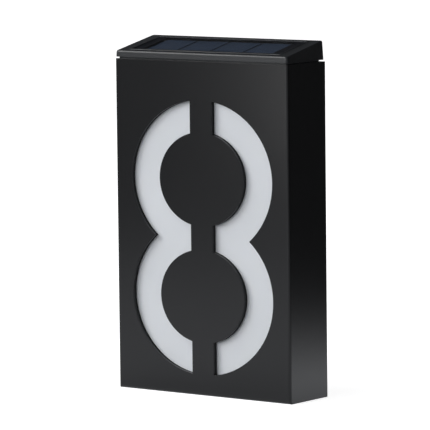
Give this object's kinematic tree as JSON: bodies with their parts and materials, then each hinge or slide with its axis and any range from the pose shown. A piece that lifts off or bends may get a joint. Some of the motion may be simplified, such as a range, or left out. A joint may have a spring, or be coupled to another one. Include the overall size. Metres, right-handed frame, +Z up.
{
  "type": "illuminated house number sign",
  "caption": "Wall-mounted solar house number lamp: folded sheet housing with a stencil digit over an opal diffuser, closed by a lift-out solar head.",
  "frame": {"origin": "middle of the housing's footprint, on the surface that it stands on", "axes": "+X to the right seen from the front, -Y out of the front with the digit, +Z up"},
  "size_m": [0.1124, 0.033, 0.1858],
  "materials": {
    "housing_paint": "satin anthracite powder coat",
    "foam": "matt black closed-cell foam",
    "opal": "opal acrylic, satin",
    "rail_paint": "satin powder coat",
    "bracket_zinc": "zinc-plated steel",
    "cover_plastic": "fine moulded texture",
    "screw_steel": "plain stainless steel",
    "reflector_white": "white film",
    "lid_plastic": "satin moulded plastic",
    "seal_rubber": "matt",
    "laminate_black": "dark laminate",
    "cell_blue": "dark blue silicon with fine lines",
    "cover_glass": "clear, smooth",
    "module_plastic": "moulded plastic",
    "battery_sleeve": "plain printed sleeve",
    "plated_wire": "nickel plated",
    "board_green": "solder mask",
    "component_black": "moulded",
    "board_white": "white solder mask",
    "lamp_yellow": "phosphor under clear resin",
    "switch_black": "moulded",
    "knob_white": "moulded",
    "lead_red": "insulated lead"
  },
  "bodies": {
    "housing": {"housing_shell": "housing_paint", "digit_gasket": "foam", "diffuser": "opal", "diffuser_rails": "rail_paint", "corner_brackets": "bracket_zinc", "back_cover": "cover_plastic", "back_screws": "screw_steel", "reflector_sheet": "reflector_white"},
    "solar_head": {"lid_shell": "lid_plastic", "neck_seal": "seal_rubber", "solar_substrate": "laminate_black", "solar_cells": "cell_blue", "solar_glass": "cover_glass", "lid_screws": "screw_steel", "module_base": "module_plastic", "base_screws": "screw_steel", "battery_cell": "battery_sleeve", "battery_spring": "plated_wire", "battery_contacts": "plated_wire", "control_board": "board_green", "board_components": "component_black", "led_board": "board_white", "leds": "lamp_yellow", "switch_body": "switch_black", "lead_wires": "lead_red"},
    "knob": {"switch_knob": "knob_white"},
    "door": {"battery_door": "module_plastic", "door_screws": "screw_steel"}
  },
  "joints": [
    {"name": "lid_lift", "type": "slide", "parent": "housing", "child": "solar_head", "axis": [0, 0, 1], "range_m": [0, 0.045]},
    {"name": "switch_slide", "type": "slide", "parent": "solar_head", "child": "knob", "axis": [1, 0, 0], "range_m": [0, 0.003]},
    {"name": "door_drop", "type": "slide", "parent": "solar_head", "child": "door", "axis": [0, 0, -1], "range_m": [0, 0.012]}
  ]
}
